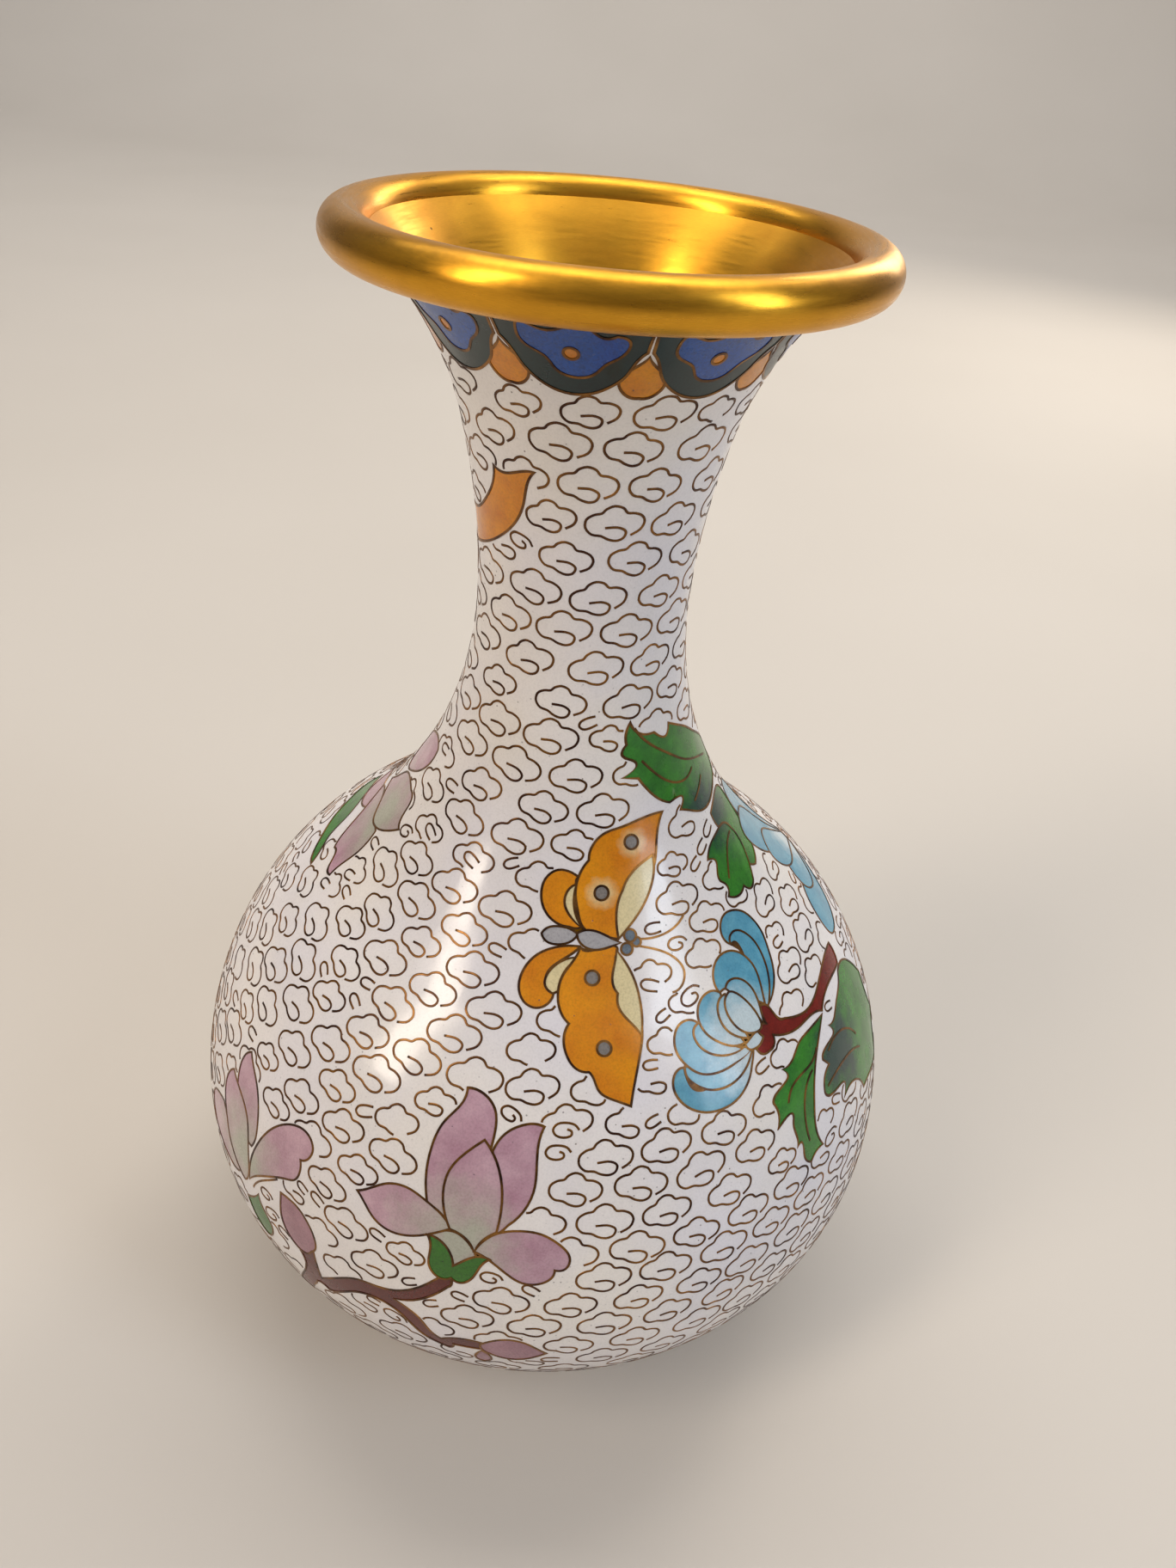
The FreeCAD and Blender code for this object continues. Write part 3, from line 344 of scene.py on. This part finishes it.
def ribbon_mesh(name, wires):
    """Raised metal ribbons: flat on top, with sides that go down into the enamel."""
    vertices = []
    faces = []
    for points in wires:
        first = len(vertices)
        count = len(points)
        for i, (point, out) in enumerate(points):
            ahead = points[min(i + 1, count - 1)][0]
            behind = points[max(i - 1, 0)][0]
            side = (ahead - behind).cross(out).normalized()
            for across, lift in ((1.0, -WIRE_SUNK), (0.95, WIRE_PROUD * 0.7), (0.55, WIRE_PROUD),
                                 (-0.55, WIRE_PROUD), (-0.95, WIRE_PROUD * 0.7), (-1.0, -WIRE_SUNK)):
                vertices.append(point + side * across * WIRE_HALF + out * lift)
        for i in range(count - 1):
            a = first + 6 * i
            for k in range(5):
                faces.append((a + k, a + k + 6, a + k + 7, a + k + 1))
        faces.append(tuple(first + k for k in range(6)))
        last = first + 6 * (count - 1)
        faces.append(tuple(last + 5 - k for k in range(6)))
    mesh = bpy.data.meshes.new(name)
    mesh.from_pydata([tuple(v) for v in vertices], [], faces)
    mesh.shade_smooth()
    return mesh


# ---------------------------------------------------------------------------
# shader building
# ---------------------------------------------------------------------------
def linear(red, green, blue):
    """Shader colour from 0 to 255 screen values."""
    return tuple((c / 255 / 12.92) if c < 10.3 else ((c / 255 + 0.055) / 1.055) ** 2.4
                 for c in (red, green, blue)) + (1.0,)


class Shader:
    """A node material with short calls for the nodes used here."""

    def __init__(self, name):
        self.material = bpy.data.materials.new(name)
        self.material.use_nodes = True
        self.tree = self.material.node_tree
        self.surface = self.tree.nodes["Principled BSDF"]
        self.position = self.tree.nodes.new("ShaderNodeTexCoord").outputs["Object"]

    def feed(self, socket, given):
        if isinstance(given, bpy.types.NodeSocket):
            self.tree.links.new(given, socket)
        else:
            socket.default_value = given

    def noise(self, size, detail=3.0, vector=None, rough=0.55):
        """Noise whose features are about size millimetres across."""
        node = self.tree.nodes.new("ShaderNodeTexNoise")
        self.feed(node.inputs["Vector"], vector or self.position)
        node.inputs["Scale"].default_value = 1000.0 / size
        node.inputs["Detail"].default_value = detail
        node.inputs["Roughness"].default_value = rough
        return node.outputs["Fac"]

    def specks(self, size, radius, chance):
        """1 inside scattered round specks, spaced about size millimetres, 0 elsewhere."""
        node = self.tree.nodes.new("ShaderNodeTexVoronoi")
        self.feed(node.inputs["Vector"], self.position)
        node.inputs["Scale"].default_value = 1000.0 / size
        near = self.ramp(node.outputs["Distance"], ((radius * 0.5, 1.0), (radius, 0.0)))
        split = self.tree.nodes.new("ShaderNodeSeparateColor")
        self.feed(split.inputs[0], node.outputs["Color"])
        kept = self.maths("LESS_THAN", split.outputs[0], chance)
        return self.maths("MULTIPLY", near, kept)

    def ramp(self, value, stops):
        """stops are (place, grey or colour)."""
        node = self.tree.nodes.new("ShaderNodeValToRGB")
        elements = node.color_ramp.elements
        while len(elements) < len(stops):
            elements.new(0.5)
        for element, (spot, shade) in zip(elements, stops):
            element.position = spot
            element.color = shade if isinstance(shade, tuple) else (shade, shade, shade, 1.0)
        self.feed(node.inputs[0], value)
        return node.outputs[0]

    def maths(self, kind, a, b=0.0):
        node = self.tree.nodes.new("ShaderNodeMath")
        node.operation = kind
        self.feed(node.inputs[0], a)
        self.feed(node.inputs[1], b)
        return node.outputs[0]

    def spread(self, value, low, high, to_low=0.0, to_high=1.0):
        """Maps a range onto another, held at its ends."""
        node = self.tree.nodes.new("ShaderNodeMapRange")
        self.feed(node.inputs[0], value)
        for k, number in enumerate((low, high, to_low, to_high), start=1):
            node.inputs[k].default_value = number
        return node.outputs[0]

    def mix(self, amount, a, b, kind="MIX"):
        node = self.tree.nodes.new("ShaderNodeMix")
        node.data_type = "RGBA"
        node.blend_type = kind
        self.feed(node.inputs[0], amount)
        self.feed(node.inputs[6], a)
        self.feed(node.inputs[7], b)
        return node.outputs[2]

    def distance(self, point):
        """Distance in millimetres from a point."""
        node = self.tree.nodes.new("ShaderNodeVectorMath")
        node.operation = "DISTANCE"
        self.feed(node.inputs[0], self.position)
        node.inputs[1].default_value = point
        return self.maths("MULTIPLY", node.outputs["Value"], 1000.0)

    def nearest(self, points):
        found = self.distance(points[0])
        for point in points[1:]:
            found = self.maths("MINIMUM", found, self.distance(point))
        return found

    def bump(self, height, strength, depth, normal=None):
        node = self.tree.nodes.new("ShaderNodeBump")
        node.inputs["Strength"].default_value = strength
        node.inputs["Distance"].default_value = depth * MM
        self.feed(node.inputs["Height"], height)
        if normal:
            self.feed(node.inputs["Normal"], normal)
        return node.outputs[0]

    def turning(self):
        """Texture position that is stretched round the axis, for lathe and brush marks."""
        split = self.tree.nodes.new("ShaderNodeSeparateXYZ")
        self.feed(split.inputs[0], self.position)
        squares = self.maths("ADD", self.maths("MULTIPLY", split.outputs[0], split.outputs[0]),
                             self.maths("MULTIPLY", split.outputs[1], split.outputs[1]))
        radius = self.maths("SQRT", squares)
        join = self.tree.nodes.new("ShaderNodeCombineXYZ")
        for k in (0, 1):
            level = self.maths("DIVIDE", split.outputs[k], radius)
            self.feed(join.inputs[k], self.maths("MULTIPLY", level, 0.0035))
        self.feed(join.inputs[2], self.maths("ADD", radius, self.maths("MULTIPLY", split.outputs[2], 1.3)))
        return join.outputs[0]


def enamel(name, shade, drift=0.1, gloss=0.12, pits=0.16, pit_shade=(70, 62, 60)):
    """Polished glass: colour drift, fine grain, pinholes and a hard clear gloss.  shade is a
    colour, or a function that makes a colour socket from the shader."""
    s = Shader(name)
    colour = shade(s) if callable(shade) else shade
    cloudy = s.ramp(s.noise(9.0, 4.0), ((0.3, 1.0 - drift), (0.72, 1.0)))
    colour = s.mix(1.0, colour, cloudy, "MULTIPLY")
    grain = s.ramp(s.noise(0.35, 2.0), ((0.32, 1.0 - drift * 1.3), (0.58, 1.0)))
    colour = s.mix(1.0, colour, grain, "MULTIPLY")
    pinholes = s.specks(1.9, 0.09, pits)
    colour = s.mix(s.maths("MULTIPLY", pinholes, 0.8), colour, linear(*pit_shade))
    s.feed(s.surface.inputs["Base Color"], colour)
    rough = s.spread(s.noise(5.0, 4.0), 0.3, 0.7, gloss, gloss + 0.12)
    s.feed(s.surface.inputs["Roughness"], s.maths("ADD", rough, s.maths("MULTIPLY", pinholes, 0.4)))
    s.surface.inputs["IOR"].default_value = 1.52
    s.surface.inputs["Coat Weight"].default_value = 0.12
    s.surface.inputs["Coat Roughness"].default_value = 0.05
    waves = s.bump(s.noise(6.0, 2.0), 0.12, 0.3)
    holes = s.bump(s.maths("SUBTRACT", 1.0, pinholes), 0.5, 0.06, waves)
    s.feed(s.surface.inputs["Normal"], holes)
    return s.material


def metal(name, bright, dull, rough=0.24, brush=0.3, tarnish=0.35, pits=0.1):
    """Turned and gilded brass: brush marks round the axis, tarnish clouds and small pits."""
    s = Shader(name)
    turning = s.turning()
    fine = s.noise(0.09, 2.0, turning)
    broad = s.noise(0.7, 3.0, turning)
    clouds = s.ramp(s.noise(7.0, 5.0), ((0.42, 0.0), (0.75, tarnish)))
    colour = s.mix(clouds, linear(*bright), linear(*dull))
    colour = s.mix(1.0, colour, s.ramp(fine, ((0.25, 0.86), (0.7, 1.0))), "MULTIPLY")
    spots = s.specks(2.6, 0.1, pits)
    colour = s.mix(s.maths("MULTIPLY", spots, 0.85), colour, linear(60, 36, 14))
    s.feed(s.surface.inputs["Base Color"], colour)
    s.surface.inputs["Metallic"].default_value = 1.0
    s.surface.inputs["Anisotropic"].default_value = 0.6
    s.surface.inputs["Anisotropic Rotation"].default_value = 0.25
    around = s.tree.nodes.new("ShaderNodeTangent")
    around.direction_type = "RADIAL"
    around.axis = "Z"
    s.feed(s.surface.inputs["Tangent"], around.outputs[0])
    streaks = s.spread(broad, 0.3, 0.7, rough - 0.05, rough + 0.09)
    s.feed(s.surface.inputs["Roughness"], s.maths("ADD", streaks, s.maths("MULTIPLY", clouds, 0.25)))
    marks = s.bump(fine, brush, 0.012)
    s.feed(s.surface.inputs["Normal"], s.bump(s.maths("SUBTRACT", 1.0, spots), 0.5, 0.05, marks))
    return s.material


def wire(name, bright=(150, 104, 54), dull=(72, 46, 34)):
    """Thin brass wire ground flush: bright gold patches are painted glints (painted highlight), set between
    darker lengths that are real tarnish.
    """
    s = Shader(name)
    # painted highlight: noise mixes bright gold glint patches into the darker, tarnished brass colour
    glint_and_tarnish = s.ramp(s.noise(5.0, 4.0), ((0.38, 0.0), (0.66, 1.0)))
    colour = s.mix(glint_and_tarnish, linear(*dull), linear(*bright))
    colour = s.mix(1.0, colour, s.ramp(s.noise(0.25, 2.0), ((0.3, 0.72), (0.65, 1.0))), "MULTIPLY")
    s.feed(s.surface.inputs["Base Color"], colour)
    s.surface.inputs["Metallic"].default_value = 0.85
    s.feed(s.surface.inputs["Roughness"], s.spread(s.noise(1.2, 3.0), 0.3, 0.7, 0.26, 0.46))
    s.feed(s.surface.inputs["Normal"], s.bump(s.noise(0.12, 2.0), 0.25, 0.02))
    return s.material


# ---------------------------------------------------------------------------
# colours that change across a motif
# ---------------------------------------------------------------------------
MAGNOLIA_HEARTS = [
    drawing_point(-10, 71.7, 0, -4), drawing_point(-50, 62.2, 0, -4),
    drawing_point(-78, 109.64, 0, -4), drawing_point(-137, 71.7, 0, -4)]
BLUE_HEARTS = [drawing_point(42, 92.8, 0, -4), drawing_point(84, 97.9, 20, -4),
               drawing_point(160, 92.8, 0, -4)]
LEAF_HEARTS = [drawing_point(62, 78.86, 0, 0), drawing_point(55, 116.38, 6, -1),
               drawing_point(180, 78.86, 0, 0)]
PALE_EYES = [drawing_point(9, 103.45, 7.2, 17.5), drawing_point(9, 103.45, 2.35, 9.6)]


def white_shade(s):
    tone = s.mix(s.spread(s.noise(38.0, 3.0), 0.35, 0.65), linear(232, 229, 236), linear(240, 234, 228))
    stains = s.ramp(s.noise(14.0, 6.0, rough=0.7), ((0.66, 0.0), (0.8, 0.35)))
    tone = s.mix(stains, tone, linear(205, 188, 172))
    grey = s.specks(0.8, 0.2, 0.22)
    tone = s.mix(s.maths("MULTIPLY", grey, 0.22), tone, linear(150, 142, 156))
    patch = s.ramp(s.noise(20.0, 3.0), ((0.5, 0.0), (0.62, 1.0)))
    dark = s.maths("MULTIPLY", s.specks(1.1, 0.17, 0.3), patch)
    return s.mix(s.maths("MULTIPLY", dark, 0.6), tone, linear(88, 76, 80))


def orange_shade(s):
    tone = s.mix(s.spread(s.noise(6.0, 4.0), 0.3, 0.7), linear(232, 150, 8), linear(212, 124, 4))
    near = s.maths("ADD", s.nearest(PALE_EYES), s.spread(s.noise(1.4, 2.0), 0.2, 0.8, -0.5, 0.5))
    halo = s.ramp(s.spread(near, 1.3, 3.0), ((0.0, 0.85), (1.0, 0.0)))
    return s.mix(halo, tone, linear(236, 206, 150))


def lilac_shade(s):
    far = s.maths("ADD", s.nearest(MAGNOLIA_HEARTS), s.spread(s.noise(4.0, 4.0), 0.25, 0.75, -3.0, 3.0))
    green = s.ramp(s.spread(far, 2.0, 12.5), ((0.0, 1.0), (1.0, 0.0)))
    lilac = s.mix(s.spread(s.noise(5.0, 4.0), 0.3, 0.7), linear(204, 168, 182), linear(178, 136, 154))
    return s.mix(s.maths("MULTIPLY", green, 0.75), lilac, linear(172, 184, 160))


def blue_shade(s):
    far = s.maths("ADD", s.nearest(BLUE_HEARTS), s.spread(s.noise(2.5, 3.0), 0.25, 0.75, -1.5, 1.5))
    pale = s.ramp(s.spread(far, 4.5, 10.0), ((0.0, 0.85), (1.0, 0.0)))
    blue = s.mix(s.spread(s.noise(3.0, 4.0), 0.3, 0.7), linear(104, 170, 194), linear(76, 146, 176))
    return s.mix(pale, blue, linear(214, 226, 230))


def leaf_shade(s):
    far = s.maths("ADD", s.nearest(LEAF_HEARTS), s.spread(s.noise(4.0, 4.0), 0.25, 0.75, -3.5, 3.5))
    dark = s.ramp(s.spread(far, 4.0, 9.5), ((0.0, 1.0), (1.0, 0.0)))
    green = s.mix(s.spread(s.noise(3.0, 4.0), 0.3, 0.7), linear(58, 142, 38), linear(34, 108, 32))
    return s.mix(dark, green, linear(4, 60, 52))


def bud_shade(s):
    return s.mix(s.spread(s.noise(5.0, 4.0), 0.3, 0.7), linear(180, 136, 148), linear(156, 112, 126))


def stem_shade(s):
    return s.mix(s.spread(s.noise(4.0, 4.0), 0.3, 0.7), linear(138, 34, 24), linear(104, 24, 16))


def ochre_shade(s):
    return s.mix(s.spread(s.noise(4.0, 4.0), 0.3, 0.7), linear(230, 148, 8), linear(206, 120, 4))


GOLD = ((226, 164, 50), (170, 110, 30))
looks = {
    "neck_shell": metal("gilt_throat", *GOLD, rough=0.32, brush=0.4, tarnish=0.3, pits=0.05),
    "belly_shell": metal("brass_wall", (196, 150, 78), (132, 86, 40), rough=0.36, tarnish=0.6),
    "mouth_ring": metal("gilt_bead", *GOLD, rough=0.28, brush=0.22, tarnish=0.22, pits=0.05),
    "foot_ring": metal("gilt_foot", *GOLD, rough=0.26, brush=0.3, tarnish=0.5, pits=0.2),
    "base_plate": metal("brass_base", (190, 142, 70), (120, 80, 40), rough=0.4, tarnish=0.6),
    "inner_enamel": enamel("lining_glass", linear(58, 128, 150), 0.25, 0.3, 0.35),
    "base_enamel": enamel("base_glass", linear(58, 128, 150), 0.2, 0.2, 0.3),
    "ground_enamel": enamel("white_glass", white_shade, 0.05, 0.12, 0.2, (92, 78, 70)),
    "butterfly_eyespots": enamel("grey_glass", linear(138, 132, 128), 0.2, 0.2, 0.1),
    "butterfly_head": enamel("slate_glass", linear(104, 116, 128), 0.2, 0.2, 0.1),
    "butterfly_body": enamel("dove_glass", linear(176, 174, 178), 0.15, 0.16, 0.2),
    "butterfly_patches": enamel("cream_glass", linear(232, 216, 168), 0.12, 0.14, 0.15),
    "butterfly_wings": enamel("orange_glass", orange_shade, 0.12, 0.14, 0.3, (96, 50, 12)),
    "neck_butterfly_wings": enamel("ochre_glass", ochre_shade, 0.12, 0.14, 0.3, (96, 50, 12)),
    "neck_butterfly_body": enamel("pale_glass", linear(196, 190, 186), 0.15, 0.16, 0.2),
    "magnolia_calyxes": enamel("calyx_glass", linear(50, 116, 16), 0.25, 0.16, 0.2, (18, 34, 10)),
    "magnolia_petals": enamel("lilac_glass", lilac_shade, 0.1, 0.14, 0.25, (110, 84, 104)),
    "magnolia_buds": enamel("bud_glass", bud_shade, 0.12, 0.14, 0.25, (96, 66, 80)),
    "magnolia_branches": enamel("branch_glass", linear(104, 30, 18), 0.3, 0.22, 0.2, (44, 14, 8)),
    "flower_petals": enamel("blue_glass", blue_shade, 0.1, 0.14, 0.2, (54, 88, 104)),
    "flower_stems": enamel("stem_glass", stem_shade, 0.2, 0.14, 0.2, (60, 16, 10)),
    "leaves": enamel("leaf_glass", leaf_shade, 0.2, 0.2, 0.25, (8, 36, 14)),
    "collar_dots": enamel("dot_glass", ochre_shade, 0.12, 0.16, 0.1),
    "collar_blossoms": enamel("cobalt_glass", linear(30, 88, 178), 0.3, 0.22, 0.2, (12, 26, 70)),
    "collar_lappets": enamel("teal_glass", linear(2, 40, 38), 0.3, 0.24, 0.2, (2, 14, 14)),
    "collar_tongues": enamel("tongue_glass", ochre_shade, 0.12, 0.14, 0.2, (96, 50, 12)),
}
# both wire materials carry painted gold glints (painted highlight) mixed with real tarnish
wire_look = wire("tarnished_wire_with_painted_glints")
motif_wire_look = wire("motif_wire", (160, 112, 56), (70, 46, 32))
for name, node in nodes.items():
    look = looks.get(name, motif_wire_look)
    for k in range(len(node.material_slots)):
        node.material_slots[k].material = look
    if not node.material_slots:
        node.data.materials.append(look)

# ---------------------------------------------------------------------------
# lay the cloud wires, in bands so that no piece is too heavy
# ---------------------------------------------------------------------------
BANDS = (("low_belly_clouds", 34), ("mid_belly_clouds", 58), ("high_belly_clouds", 86),
         ("shoulder_clouds", 120), ("neck_clouds", 200))
all_wires = lay_clouds() + lay_fillers()
lowest = 0.0
for name, top in BANDS:
    group = [w for w in all_wires if lowest <= w[len(w) // 2][0].z < top * MM]
    lowest = top * MM
    clouds = bpy.data.objects.new(name, ribbon_mesh(name, group))
    bpy.context.scene.collection.objects.link(clouds)
    clouds.data.materials.append(wire_look)
    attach(clouds, "root")


# ---------------------------------------------------------------------------
# stage, light and camera
# ---------------------------------------------------------------------------
def backdrop():
    """Pale floor that bends up into a wall behind the vase."""
    outline = [(-2.0, 0.0), (-1.0, 0.0), (0.0, 0.0), (1.6, 0.0)]
    for k in range(1, 13):
        a = math.radians(k * 7.5)
        outline.append((1.6 + 0.7 * math.sin(a), 0.7 - 0.7 * math.cos(a)))
    outline.append((2.3, 2.6))
    vertices = [(x, y, z) for y, z in outline for x in (-3.0, 3.0)]
    faces = [(2 * i, 2 * i + 1, 2 * i + 3, 2 * i + 2) for i in range(len(outline) - 1)]
    mesh = bpy.data.meshes.new("floor")
    mesh.from_pydata(vertices, [], faces)
    mesh.shade_smooth()
    floor = bpy.data.objects.new("floor", mesh)
    bpy.context.scene.collection.objects.link(floor)
    s = Shader("floor_paint")
    s.feed(s.surface.inputs["Base Color"],
           s.mix(s.noise(300.0, 2.0), linear(196, 190, 182), linear(206, 200, 193)))
    s.surface.inputs["Roughness"].default_value = 0.7
    mesh.materials.append(s.material)


def softbox(name, place_at, size, watts, colour, aim=(0, 0, 0.1)):
    light = bpy.data.lights.new(name, "AREA")
    light.shape = "RECTANGLE"
    light.size, light.size_y = size
    light.energy = watts
    light.color = colour
    lamp = bpy.data.objects.new(name, light)
    bpy.context.scene.collection.objects.link(lamp)
    lamp.location = place_at
    lamp.rotation_euler = (Vector(aim) - Vector(place_at)).to_track_quat("-Z", "Y").to_euler()


backdrop()
softbox("key", (-0.75, -0.55, 0.85), (0.22, 0.9), 6.6, (1.0, 0.88, 0.74))
softbox("fill", (0.85, -0.45, 0.7), (0.3, 0.8), 4.4, (0.8, 0.89, 1.0))
softbox("top", (0.0, 0.25, 1.1), (0.9, 0.25), 4.0, (1.0, 0.94, 0.86))
softbox("back", (0.5, 0.9, 0.6), (0.3, 0.7), 3.0, (1.0, 0.9, 0.76))
softbox("wash", (0.0, 1.0, 1.7), (2.4, 0.5), 22.0, (1.0, 0.97, 0.93), (0.0, 2.1, 0.4))

world = bpy.data.worlds.new("room")
world.use_nodes = True
sky = world.node_tree
background = sky.nodes["Background"]
background.inputs["Strength"].default_value = 0.34
spot = sky.nodes.new("ShaderNodeTexCoord")
split = sky.nodes.new("ShaderNodeSeparateXYZ")
shade = sky.nodes.new("ShaderNodeValToRGB")
sky.links.new(spot.outputs["Generated"], split.inputs[0])
sky.links.new(split.outputs[2], shade.inputs[0])
sky.links.new(shade.outputs[0], background.inputs["Color"])
shade.color_ramp.elements[0].color = (0.36, 0.31, 0.27, 1)
shade.color_ramp.elements[1].color = (0.95, 0.96, 1.0, 1)
bpy.context.scene.world = world
bpy.context.scene.view_settings.view_transform = "Standard"

lens = bpy.data.cameras.new("camera")
lens.lens = 26.447
lens.sensor_width = 36
lens.sensor_fit = "AUTO"
lens.clip_start = 0.01
camera = bpy.data.objects.new("camera", lens)
bpy.context.scene.collection.objects.link(camera)
RIGHT = Vector((0.99628952, 0.03342611, 0.07930886))
UP = Vector((-0.0841717, 0.57065525, 0.81686456))
BACK = RIGHT.cross(UP)
turned = Matrix((RIGHT, UP, BACK)).transposed().to_4x4()
camera.matrix_world = Matrix.Translation((0.0, -0.16646, 0.22794)) @ turned
bpy.context.scene.camera = camera
